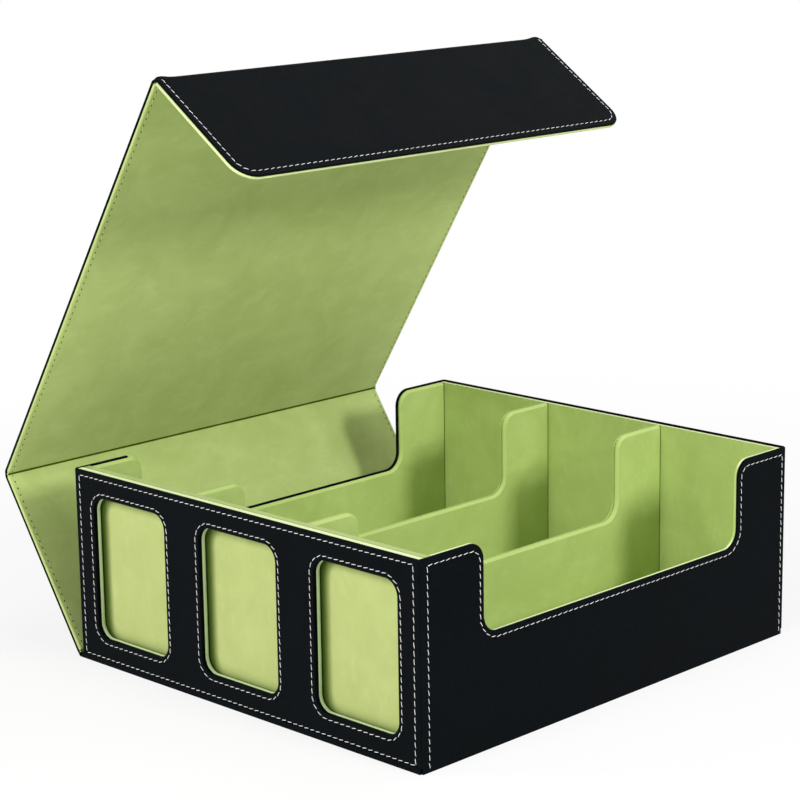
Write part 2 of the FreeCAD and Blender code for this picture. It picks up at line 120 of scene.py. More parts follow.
class NodeSheet:
    """Adds and joins nodes in one node tree."""

    def __init__(self, tree: bpy.types.NodeTree) -> None:
        """Work on the node tree of a material, a world or a group."""
        self.tree = tree

    def add(self, kind: str, **settings: object) -> bpy.types.Node:
        """Add a node.

        Args:
            kind: The node's type name, such as ShaderNodeTexNoise.
            **settings: The node's properties.

        Returns:
            The new node.
        """
        node = self.tree.nodes.new(kind)
        for name, value in settings.items():
            setattr(node, name, value)
        return node

    def feed(self, target: Socket, source: object) -> None:
        """Give an input its value.

        Args:
            target: The input.
            source: An output to link it to, or a plain number or colour.
        """
        if isinstance(source, Socket):
            self.tree.links.new(source, target)
        else:
            target.default_value = source

    def wired(self, kind: str, result: str, sources: dict[str | int, object], **settings: object) -> Socket:
        """Add a node and give it its inputs.

        Args:
            kind: The node's type name.
            result: The name of the wanted output.
            sources: The inputs' names or numbers, each with a socket or a plain value.
            **settings: The node's properties.

        Returns:
            The wanted output.
        """
        node = self.add(kind, **settings)
        for target, source in sources.items():
            self.feed(node.inputs[target], source)
        return node.outputs[result]

    def math(self, operation: str, first: object, second: object) -> Socket:
        """Combine two numbers or sockets by an operation, such as MULTIPLY."""
        return self.wired("ShaderNodeMath", "Value", {0: first, 1: second}, operation=operation)

    def blend_colors(self, share: Socket, low: object, high: object) -> Socket:
        """Mix two colours by a mask, which is 0 for the low colour and 1 for the high one."""
        return self.wired("ShaderNodeMix", "Result", {"Factor": share, "A": low, "B": high}, data_type="RGBA")

    def ramp(self, value: Socket, start: float, end: float, foot: float = 0.0) -> Socket:
        """Stretch a mask so that start becomes the foot and end becomes 1."""
        sources = {"Value": value, "From Min": start, "From Max": end, "To Min": foot}
        return self.wired("ShaderNodeMapRange", "Result", sources)

    def noise(
        self, vector: Socket, scale: Socket, detail: float, roughness: float, distortion: float = 0.0
    ) -> Socket:
        """Add a noise pattern at a scale; roughness is the strength of its finer layers."""
        sources = {"Vector": vector, "Scale": scale, "Detail": detail, "Roughness": roughness}
        return self.wired("ShaderNodeTexNoise", "Fac", {**sources, "Distortion": distortion})


class EffectSheet(NodeSheet):
    """The node sheet of a shader group, with the group's named inputs and outputs."""

    def __init__(
        self, name: str, colors: tuple[str, ...], numbers: dict[str, float], results: tuple[str, ...]
    ) -> None:
        """Make the group.

        Args:
            name: The group's name.
            colors: The names of its colour inputs; it has a Vector input as well.
            numbers: The names and usual values of its number inputs.
            results: The names of its outputs.
        """
        super().__init__(bpy.data.node_groups.new(name, "ShaderNodeTree"))
        face = self.tree.interface
        face.new_socket("Vector", in_out="INPUT", socket_type="NodeSocketVector")
        for color in colors:
            face.new_socket(color, in_out="INPUT", socket_type="NodeSocketColor")
        for number, value in numbers.items():
            socket = face.new_socket(number, in_out="INPUT", socket_type="NodeSocketFloat")
            socket.default_value = value
        for result in results:
            kind = "NodeSocketColor" if result == "Color" else "NodeSocketFloat"
            face.new_socket(result, in_out="OUTPUT", socket_type=kind)
        self.given = self.add("NodeGroupInput").outputs
        self.results = self.add("NodeGroupOutput").inputs


def suede_nap_group() -> bpy.types.NodeTree:
    """Build the suede's nap: brushed patches, streaks and fine fibre, with the Crest colour mixed in as a
    painted highlight.

    Returns:
        A group that puts out Color, Height and Roughness.
    """
    sheet = EffectSheet(
        "suede_nap",
        ("Plain", "Brushed", "Rubbed", "Crest"),
        {"Crest Highlight Share": 0.0, "Patch Scale": 28.0, "Streak Scale": 140.0, "Fibre Scale": 2400.0},
        ("Color", "Height", "Roughness"),
    )
    given, place = sheet.given, sheet.given["Vector"]
    streak_share, coarse_share, patch_roughness, base_roughness = 0.45, 0.35, 0.08, 0.86
    brushing = {"Vector": place, "Scale": (1.0, 0.35, 0.5), "Rotation": (0.3, 0.2, 0.5)}
    leaning = sheet.wired("ShaderNodeMapping", "Vector", brushing)
    patches = sheet.noise(place, given["Patch Scale"], detail=4.0, roughness=0.62, distortion=0.9)
    streaks = sheet.noise(leaning, given["Streak Scale"], detail=5.0, roughness=0.7)
    fibres = sheet.noise(place, given["Fibre Scale"], detail=3.0, roughness=0.75)
    patch_mask = sheet.ramp(patches, start=0.36, end=0.66)
    brushed = sheet.blend_colors(patch_mask, given["Plain"], given["Brushed"])
    rubbed_share = sheet.math("MULTIPLY", sheet.ramp(streaks, start=0.5, end=0.8), streak_share)
    napped = sheet.blend_colors(rubbed_share, brushed, given["Rubbed"])
    # The Crest colour is a painted highlight, mixed in by its share.
    sheet.feed(sheet.results["Color"], sheet.blend_colors(given["Crest Highlight Share"], napped, given["Crest"]))
    coarse = sheet.math("MULTIPLY", sheet.ramp(streaks, start=0.3, end=0.75), coarse_share)
    sheet.feed(sheet.results["Height"], sheet.math("ADD", coarse, fibres))
    spread = sheet.math("MULTIPLY", patch_mask, patch_roughness)
    sheet.feed(sheet.results["Roughness"], sheet.math("ADD", spread, base_roughness))
    return sheet.tree


def leather_grain_group() -> bpy.types.NodeTree:
    """Build the leather's grain: small pressed cells, wrinkles and a faint cloudy tone.

    Returns:
        A group that puts out Color, Height and Roughness.
    """
    sheet = EffectSheet(
        "leather_grain",
        ("Deep", "Raised"),
        {"Cell Scale": 1500.0, "Cloud Scale": 35.0, "Base Roughness": 0.42},
        ("Color", "Height", "Roughness"),
    )
    given, place = sheet.given, sheet.given["Vector"]
    wrinkle_size, wrinkle_height, cloud_roughness = 0.22, 0.8, 0.1
    pebble_share, cloud_share = 0.55, 0.45
    pressing = {"Vector": place, "Scale": given["Cell Scale"], "Randomness": 1.0}
    cells = sheet.wired("ShaderNodeTexVoronoi", "Distance", pressing, feature="DISTANCE_TO_EDGE")
    clouds = sheet.noise(place, given["Cloud Scale"], detail=4.0, roughness=0.6)
    wrinkle_scale = sheet.math("MULTIPLY", given["Cell Scale"], wrinkle_size)
    wrinkles = sheet.noise(place, wrinkle_scale, detail=6.0, roughness=0.7, distortion=0.6)
    pebble = sheet.ramp(cells, start=0.0, end=0.22)
    cloud_mask = sheet.ramp(clouds, start=0.35, end=0.7)
    bright = sheet.math("MULTIPLY", pebble, pebble_share)
    tone = sheet.math("ADD", bright, sheet.math("MULTIPLY", cloud_mask, cloud_share))
    sheet.feed(sheet.results["Color"], sheet.blend_colors(tone, given["Deep"], given["Raised"]))
    relief = sheet.math("ADD", pebble, sheet.math("MULTIPLY", wrinkles, wrinkle_height))
    sheet.feed(sheet.results["Height"], relief)
    lift = sheet.math("MULTIPLY", cloud_mask, cloud_roughness)
    sheet.feed(sheet.results["Roughness"], sheet.math("ADD", given["Base Roughness"], lift))
    return sheet.tree


def fine_fibre_group() -> bpy.types.NodeTree:
    """Build fine speckled fibre, for thread and pressed board.

    Returns:
        A group that puts out Color and Height.
    """
    sheet = EffectSheet("fine_fibre", ("Dark", "Light"), {"Scale": 2500.0}, ("Color", "Height"))
    given = sheet.given
    speckle = sheet.noise(given["Vector"], given["Scale"], detail=4.0, roughness=0.7)
    mask = sheet.ramp(speckle, start=0.35, end=0.65)
    sheet.feed(sheet.results["Color"], sheet.blend_colors(mask, given["Dark"], given["Light"]))
    sheet.feed(sheet.results["Height"], speckle)
    return sheet.tree


class Effects:
    """The shared shader groups, each built once."""

    def __init__(self) -> None:
        """Build every group."""
        self.suede_nap = suede_nap_group()
        self.leather_grain = leather_grain_group()
        self.fine_fibre = fine_fibre_group()


class Coat:
    """One material whose colour and relief come from a shader group."""

    def __init__(self, name: str, effect: bpy.types.NodeTree, relief: float) -> None:
        """Make the material.

        Args:
            name: The material's name.
            effect: A group with a Color and a Height output.
            relief: The bump's depth in metres.
        """
        self.material = bpy.data.materials.new(name)
        self.material.use_nodes = True
        self.sheet = NodeSheet(self.material.node_tree)
        self.shader = self.material.node_tree.nodes["Principled BSDF"]
        self.place = self.sheet.add("ShaderNodeTexCoord")
        self.group = self.sheet.add("ShaderNodeGroup", node_tree=effect)
        height = {"Height": self.group.outputs["Height"], "Strength": 1.0, "Distance": relief}
        bump = self.sheet.wired("ShaderNodeBump", "Normal", height)
        self.sheet.feed(self.group.inputs["Vector"], self.place.outputs["Object"])
        self.sheet.feed(self.shader.inputs["Base Color"], self.group.outputs["Color"])
        self.sheet.feed(self.shader.inputs["Normal"], bump)
        if "Roughness" in self.group.outputs:
            self.sheet.feed(self.shader.inputs["Roughness"], self.group.outputs["Roughness"])

    def tint(self, **colors: Color) -> None:
        """Set the group's colours by their names in lower case."""
        for name, color in colors.items():
            self.group.inputs[name.title()].default_value = opaque(color)


@dataclass(frozen=True)
class SuedeFinish:
    """Matt microfibre suede with a soft sheen, a painted highlight on its up-facing upper edges and, where
    set, painted shade behind edges.
    """

    name: str
    plain: Color
    brushed: Color
    rubbed: Color
    # The colour of the painted highlight on up-facing upper edges.
    crest: Color | None = None
    relief: float = 0.12 * MM
    sheen: float = 0.25
    sheen_roughness: float = 0.45
    gloss: float = 0.15
    # The painted highlight's height, its fade and the upward tilt that it needs.
    highlight_foot: float = 0.0
    highlight_fade: float = 2 * MM
    highlight_tilt: tuple[float, float] = (0.45, 0.85)
    # Painted shade behind edges: its colour, its reach, how deep and how soon it clears, and the side that
    # light misses.
    pit_shade: Color = srgb(54, 78, 4)
    shade_reach: float = 0.0
    shade_full: float = 0.3
    shade_clear: float = 0.8
    shade_samples: int = 16
    shade_lit_from: tuple[float, float, float] | None = None

    def make(self, effects: Effects) -> bpy.types.Material:
        """Build the material.

        Args:
            effects: The shared shader groups.

        Returns:
            The material.
        """
        coat = Coat(self.name, effects.suede_nap, self.relief)
        coat.tint(plain=self.plain, brushed=self.brushed, rubbed=self.rubbed, crest=self.crest or self.rubbed)
        if self.highlight_foot:
            self.paint_crest_highlight(coat)
        if self.shade_reach:
            self.paint_pit_shade(coat)
        shader = coat.shader
        shader.inputs["Sheen Weight"].default_value = self.sheen
        shader.inputs["Sheen Roughness"].default_value = self.sheen_roughness
        shader.inputs["Sheen Tint"].default_value = opaque(self.rubbed)
        shader.inputs["Specular IOR Level"].default_value = self.gloss
        return coat.material

    def paint_crest_highlight(self, coat: Coat) -> None:
        """Paint a highlight on the walls' up-facing upper edges, where light from above catches them.

        Args:
            coat: The material.
        """
        sheet = coat.sheet
        tilt, height = (
            sheet.wired("ShaderNodeSeparateXYZ", "Z", {"Vector": coat.place.outputs[word]})
            for word in ("Normal", "Object")
        )
        # Painted highlight: faces that look up and lie above the highlight's height.
        facing_up = sheet.ramp(tilt, *self.highlight_tilt)
        high_up = sheet.ramp(height, self.highlight_foot, self.highlight_foot + self.highlight_fade)
        sheet.feed(coat.group.inputs["Crest Highlight Share"], sheet.math("MULTIPLY", facing_up, high_up))

    def paint_pit_shade(self, coat: Coat) -> None:
        """Paint shade into the colour where the suede runs behind an edge, on the side that light misses.

        Args:
            coat: The material.
        """
        sheet = coat.sheet
        sources = {"Distance": self.shade_reach}
        if self.shade_lit_from:
            axes = dict(zip("XYZ", self.shade_lit_from))
            sources["Normal"] = sheet.wired("ShaderNodeCombineXYZ", "Vector", axes)
        # Painted shade: the less open the spot, the closer its colour comes to the shade colour.
        hollow = sheet.wired("ShaderNodeAmbientOcclusion", "AO", sources, samples=self.shade_samples)
        openness = sheet.ramp(hollow, self.shade_full, self.shade_clear)
        shade = sheet.blend_colors(openness, opaque(self.pit_shade), coat.group.outputs["Color"])
        sheet.feed(coat.shader.inputs["Base Color"], shade)


@dataclass(frozen=True)
class LeatherFinish:
    """Near-black synthetic leather with a fine pressed grain."""

    name: str
    deep: Color
    raised: Color
    relief: float = 0.06 * MM
    roughness: float = 0.5
    gloss: float = 0.02
    gloss_tint: Color = srgb(160, 162, 166)

    def make(self, effects: Effects) -> bpy.types.Material:
        """Build the material.

        Args:
            effects: The shared shader groups.

        Returns:
            The material.
        """
        coat = Coat(self.name, effects.leather_grain, self.relief)
        coat.tint(deep=self.deep, raised=self.raised)
        coat.group.inputs["Base Roughness"].default_value = self.roughness
        coat.shader.inputs["Specular IOR Level"].default_value = self.gloss
        coat.shader.inputs["Specular Tint"].default_value = opaque(self.gloss_tint)
        return coat.material


@dataclass(frozen=True)
class FibreFinish:
    """A speckled fibrous finish: thread, pressed board or plated metal."""

    name: str
    dark: Color
    light: Color
    scale: float
    roughness: float
    metallic: float = 0.0
    relief: float = 0.05 * MM

    def make(self, effects: Effects) -> bpy.types.Material:
        """Build the material.

        Args:
            effects: The shared shader groups.

        Returns:
            The material.
        """
        coat = Coat(self.name, effects.fine_fibre, self.relief)
        coat.tint(dark=self.dark, light=self.light)
        coat.group.inputs["Scale"].default_value = self.scale
        coat.shader.inputs["Roughness"].default_value = self.roughness
        coat.shader.inputs["Metallic"].default_value = self.metallic
        return coat.material


class Finish(Enum):
    """The finishes of this product."""

    # Each crest colour is a painted highlight on up-facing upper edges.
    SUEDE = SuedeFinish(
        "tray_suede", srgb(171, 191, 108), srgb(180, 200, 118), srgb(196, 215, 136),
        crest=srgb(182, 203, 124), highlight_foot=57 * MM,
    )
    # The side and back walls get a paler painted highlight on their upper edges.
    WALL_SUEDE = replace(SUEDE, name="wall_suede", crest=srgb(221, 233, 180))
    COVER_SUEDE = SuedeFinish("cover_suede", srgb(172, 189, 114), srgb(181, 198, 124), srgb(198, 213, 142))
    # Window backs: a dimmer, less saturated copy of the tray suede, darkened to offset how the front lamp
    # lights them (painted shade), with painted shadow from the windows' left and top edges and a painted
    # highlight on the top.
    BACKING = SuedeFinish(
        "window_suede", srgb(167, 178, 110), srgb(174, 185, 117), srgb(185, 197, 130),
        crest=srgb(198, 212, 146), highlight_foot=57 * MM,
        shade_reach=7.5 * MM, shade_lit_from=(-0.76, -0.6, 0.25),
    )
    # Window rims: a much paler copy of the suede, partly a lighter suede and partly a painted highlight so
    # the rims look lit, with painted shade in the reveals next to the backing.
    FRAME_SUEDE = SuedeFinish(
        "frame_suede", srgb(213, 232, 180), srgb(219, 238, 188), srgb(227, 243, 198),
        crest=srgb(221, 234, 178), highlight_foot=57 * MM,
        shade_reach=4.5 * MM, shade_full=0.4, shade_clear=0.85,
    )
    # The flap's hem: a paler suede.
    HEM = SuedeFinish("pale_hem_suede", srgb(200, 210, 150), srgb(210, 219, 160), srgb(222, 230, 176))
    # Dark suede of painted shade, for inner corners, divider edges and the folds' grooves.
    SHADE_SUEDE = SuedeFinish(
        "painted_shade_suede", srgb(66, 90, 0), srgb(78, 104, 4), srgb(92, 118, 10), sheen=0.0, gloss=0.0
    )
    LEATHER = LeatherFinish("black_leather", srgb(6, 9, 10), srgb(13, 17, 20))
    THREAD = FibreFinish("pale_thread", srgb(234, 234, 231), srgb(252, 252, 250), 2600.0, 0.75)
    INNER_THREAD = FibreFinish("olive_thread", srgb(176, 188, 92), srgb(200, 211, 116), 2600.0, 0.85)
    # Near-black discs of painted shade at the needle holes.
    NEEDLE_HOLE_SHADE = FibreFinish("needle_hole_shade", srgb(6, 6, 7), srgb(14, 14, 16), 2600.0, 0.9)
    BOARD = FibreFinish("grey_board", srgb(120, 116, 106), srgb(158, 152, 140), 900.0, 0.9)
    MAGNET = FibreFinish("plated_disc", srgb(150, 152, 156), srgb(190, 192, 196), 700.0, 0.3, 1.0)


class Palette:
    """The finished materials, one per finish."""

    def __init__(self) -> None:
        """Build every material."""
        effects = Effects()
        self.materials = {finish: finish.value.make(effects) for finish in Finish}

    def dress(self, piece: Piece, finish: Finish) -> None:
        """Give a piece one finish.

        Args:
            piece: A mesh object.
            finish: The finish.
        """
        if not piece.material_slots:
            piece.data.materials.append(self.materials[finish])
        for slot in piece.material_slots:
            slot.material = self.materials[finish]


# ------------------------------------------------------------------ meshes


ARC_STEPS = 8
STRAIGHT_ENOUGH = 0.01


def new_piece(name: str, shape: Shape, smooth: bool = True) -> Piece:
    """Turn a built mesh into an object in the scene.

    Args:
        name: The piece's name.
        shape: The mesh, which is freed.
        smooth: True to shade its faces smooth.

    Returns:
        The new object.
    """
    bmesh.ops.recalc_face_normals(shape, faces=shape.faces)
    data = bpy.data.meshes.new(name)
    shape.to_mesh(data)
    shape.free()
    data.polygons.foreach_set("use_smooth", [smooth] * len(data.polygons))
    piece = bpy.data.objects.new(name, data)
    bpy.context.scene.collection.objects.link(piece)
    return piece


def in_mm(points: Section) -> Section:
    """Turn a section drawn in millimetres into metres."""
    return tuple((reach * MM, out * MM) for reach, out in points)


def round_section(count: int) -> Section:
    """Return the points of a small regular polygon, one radius from its middle."""
    turns = [2 * math.pi * number / count for number in range(count)]
    return tuple((math.cos(turn), math.sin(turn)) for turn in turns)


def close_sleeve(shape: Shape, rings: list[list[bmesh.types.BMVert]]) -> None:
    """Join closed rings of points into a sleeve and cap both ends.

    Args:
        shape: The mesh that holds the points.
        rings: The rings, in order, all with the same number of points.
    """
    for ring, following in zip(rings, rings[1:]):
        for number in range(len(ring)):
            other = (number + 1) % len(ring)
            shape.faces.new((ring[number], ring[other], following[other], following[number]))
    shape.faces.new(rings[0])
    shape.faces.new(rings[-1])


@dataclass(frozen=True)
class Plane:
    """A flat face of the product: a point and three square directions."""

    origin: Vector
    right: Vector
    up: Vector
    out: Vector

    def point(self, right: float, up: float, out: float = 0.0) -> Vector:
        """Return the point at distances along the plane's three directions."""
        return self.origin + self.right * right + self.up * up + self.out * out


@dataclass(frozen=True)
class Corner:
    """A corner of a seam's path on a plane, with its rounding."""

    right: float
    up: float
    radius: float = 0.0


def arc_steps(before: Vector, corner: Vector, after: Vector, radius: float) -> list[Vector]:
    """Round one corner of a flat path.

    Args:
        before: The path's point before the corner.
        corner: The corner.
        after: The path's point after the corner.
        radius: The rounding.

    Returns:
        The points of the arc, or the corner alone where it is sharp.
    """
    first = (before - corner).normalized()
    second = (after - corner).normalized()
    angle = first.angle(second)
    if radius <= 0 or angle > math.pi - STRAIGHT_ENOUGH:
        return [corner]
    reach = radius / math.tan(angle / 2)
    centre = corner + (first + second).normalized() * (radius / math.sin(angle / 2))
    start = corner + first * reach - centre
    end = corner + second * reach - centre
    shares = [step / ARC_STEPS for step in range(ARC_STEPS + 1)]
    return [centre + (start * (1 - share) + end * share).normalized() * radius for share in shares]


def seam_path(corners: list[Corner]) -> list[Vector]:
    """Turn rounded corners into a dense flat path.

    Args:
        corners: The path's corners, in order.

    Returns:
        The path's points, with z 0.
    """
    points = [Vector((corner.right, corner.up, 0)) for corner in corners]
    path = [points[0]]
    for before, point, after, corner in zip(points, points[1:], points[2:], corners[1:]):
        path.extend(arc_steps(before, point, after, corner.radius))
    return [*path, points[-1]]


def headings(path: list[Vector]) -> list[Vector]:
    """Return a path's direction at each of its points."""
    spots = [path[0], *path, path[-1]]
    return [(after - before).normalized() for before, after in zip(spots, spots[2:])]


def stations_along(path: list[Vector], pitch: float) -> list[tuple[Vector, Vector]]:
    """Space stitches evenly along a path.

    Args:
        path: The path's points.
        pitch: The wanted distance from one stitch to the next.

    Returns:
        Each stitch's middle and direction.
    """
    lengths = [(end - start).length for start, end in zip(path, path[1:])]
    total = sum(lengths)
    count = max(1, round(total / pitch))
    stations = []
    travelled = 0.0
    segment = 0
    for number in range(count):
        goal = (number + 0.5) * total / count
        while segment < len(lengths) - 1 and travelled + lengths[segment] < goal:
            travelled += lengths[segment]
            segment += 1
        start, end = path[segment], path[segment + 1]
        share = (goal - travelled) / lengths[segment]
        stations.append((start.lerp(end, share), (end - start).normalized()))
    return stations


@dataclass(frozen=True)
class Sewing:
    """The thread of a seam and how it is sewn.

    The stitch's section is drawn along its length: a share of the length, the rise and the
    width, both as shares of the thread's half thickness. Side and edge say which face of the
    cover it is sewn on, 1 for leather and -1 for suede, and how far from the edge.
    """

    layer: str = "outer"
    side: int = 1
    edge: float = 3.2 * MM
    thread: Finish = Finish.THREAD
    # The finish of the dark discs of painted shade at the needle holes.
    pit_shade: Finish = Finish.NEEDLE_HOLE_SHADE
    pitch: float = 4.2 * MM
    length: float = 3.0 * MM
    thickness: float = 0.33 * MM
    flatness: float = 0.75
    lift: float = 0.1 * MM
    slant: float = math.radians(9)
    unevenness: float = 0.05
    sides: int = 6
    hole_share: float = 0.6
    hole_sides: int = 8
    hole_lift: float = 0.03 * MM
    sharp_radius: float = 1.2 * MM
    profile: tuple[tuple[float, float, float], ...] = (
        (-0.5, -0.7, 0.5), (-0.4, 0.1, 0.9), (-0.18, 0.45, 1.0),
        (0.18, 0.45, 1.0), (0.4, 0.1, 0.9), (0.5, -0.7, 0.5),
    )


OUTER_SEWING = Sewing()
INNER_SEWING = Sewing(
    layer="inner", side=-1, edge=2.7 * MM, thread=Finish.INNER_THREAD,
    length=3.6 * MM, thickness=0.42 * MM, lift=-0.02 * MM, hole_share=0.9,
)


@dataclass
class Seam:
    """A row of stitches on a flat face."""

    name: str
    body: str
    plane: Plane
    corners: list[Corner]
    sewing: Sewing = OUTER_SEWING
    closed: bool = False

    def runs(self) -> list[list[Corner]]:
        """Split the seam at its sharp corners, where a needle hole falls on the corner.

        Returns:
            The corners of each run.
        """
        corners = self.corners + self.corners[:1] if self.closed else self.corners
        runs = [[corners[0]]]
        for corner in corners[1:]:
            runs[-1].append(corner)
            if corner.radius < self.sewing.sharp_radius:
                runs.append([corner])
        return runs[:-1]

    def stitch(self, shape: Shape, middle: Vector, along: Vector, turn: float) -> None:
        """Add one stitch: a short thread that rises out of one hole and dives into the next.

        Args:
            shape: The mesh that takes the stitch.
            middle: The stitch's middle on the face.
            along: The seam's direction there.
            turn: A small turn that makes stitches differ.
        """
        sewing, out = self.sewing, self.plane.out
        direction = Matrix.Rotation(sewing.slant + turn, 3, out) @ along
        side = out.cross(direction)
        half = sewing.thickness / 2
        rings = []
        for share, rise, width in sewing.profile:
            centre = middle + direction * (share * sewing.length) + out * (rise * half + sewing.lift)
            rings.append([
                shape.verts.new(centre + (side * across + out * (up * sewing.flatness)) * (half * width))
                for across, up in round_section(sewing.sides)
            ])
        close_sleeve(shape, rings)

    def hole(self, shape: Shape, middle: Vector) -> None:
        """Add a dark disc of painted shade at one needle hole.

        Args:
            shape: The mesh that takes the disc.
            middle: The disc's middle on the face.
        """
        radius = self.sewing.thickness * self.sewing.hole_share
        centre = middle + self.plane.out * self.sewing.hole_lift
        shape.faces.new([
            shape.verts.new(centre + (self.plane.right * right + self.plane.up * up) * radius)
            for right, up in round_section(self.sewing.hole_sides)
        ])

    def build(self, palette: Palette) -> None:
        """Build the seam's thread and the painted shade of its needle holes.

        Args:
            palette: The materials.
        """
        stitches, hole_shades = bmesh.new(), bmesh.new()
        luck = random.Random(self.name)
        stations: list[tuple[Vector, Vector]] = []
        for run in self.runs():
            path = [self.plane.point(spot.x, spot.y) for spot in seam_path(run)]
            stations.extend(stations_along(path, self.sewing.pitch))
        unevenness, reach = self.sewing.unevenness, self.sewing.length / 2
        for middle, along in stations:
            self.stitch(stitches, middle, along, luck.uniform(-unevenness, unevenness))
            self.hole(hole_shades, middle - along * reach)
            self.hole(hole_shades, middle + along * reach)
        for word, shape, finish in (
            ("thread", stitches, self.sewing.thread), ("hole_shades", hole_shades, self.sewing.pit_shade)
        ):
            piece = new_piece(f"{self.name}_{word}", shape)
            palette.dress(piece, finish)
            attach(piece, self.body)
        log.info("%s: %d stitches", self.name, len(stations))


@dataclass
class EdgeBand:
    """A thin skin turned over a board's edge: a small section swept along the edge.

    The section's points are distances beyond the edge and out of the face. The edge's
    outside is to the right of its direction.
    """

    name: str
    body: str
    plane: Plane
    corners: list[Corner]
    section: Section
    finish: Finish = Finish.LEATHER

    def build(self, palette: Palette) -> None:
        """Build the band.

        Args:
            palette: The materials.
        """
        path = seam_path(self.corners)
        shape = bmesh.new()
        rings = []
        for spot, along in zip(path, headings(path)):
            beyond = Vector((along.y, -along.x, 0))
            ring = []
            for reach, out in self.section:
                flat = spot + beyond * reach
                ring.append(shape.verts.new(self.plane.point(flat.x, flat.y, out)))
            rings.append(ring)
        close_sleeve(shape, rings)
        band = new_piece(self.name, shape)
        palette.dress(band, self.finish)
        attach(band, self.body)
        log.info("%s: %s", self.name, self.finish.value.name)


# ------------------------------------------------------------------ tray


@dataclass(frozen=True)
class ScoopedEdge:
    """The outline of a scooped wall's top edge, seen from its side."""

    floor: float = 61.3 * MM
    front_land: float = 46.2 * MM
    back_land: float = 44.0 * MM
    hollow_radius: float = 10 * MM
    crest_radius: float = 9.7 * MM

    def corners(self, wall_end: float, head: float, inset: float) -> list[Corner]:
        """Follow the scoop at a distance inside the edge, from front to back.

        Args:
            wall_end: The wall's length.
            head: The height of the path on the two lands.
            inset: The distance inside the edge.

        Returns:
            The scoop's four corners.
        """
        dip = self.floor - inset
        front = self.front_land - inset
        back = wall_end - self.back_land + inset
        crest = max(self.crest_radius - inset, 0)
        hollow = self.hollow_radius + inset
        return [
            Corner(front, head, crest),
            Corner(front, dip, hollow),
            Corner(back, dip, hollow),
            Corner(back, head, crest),
        ]


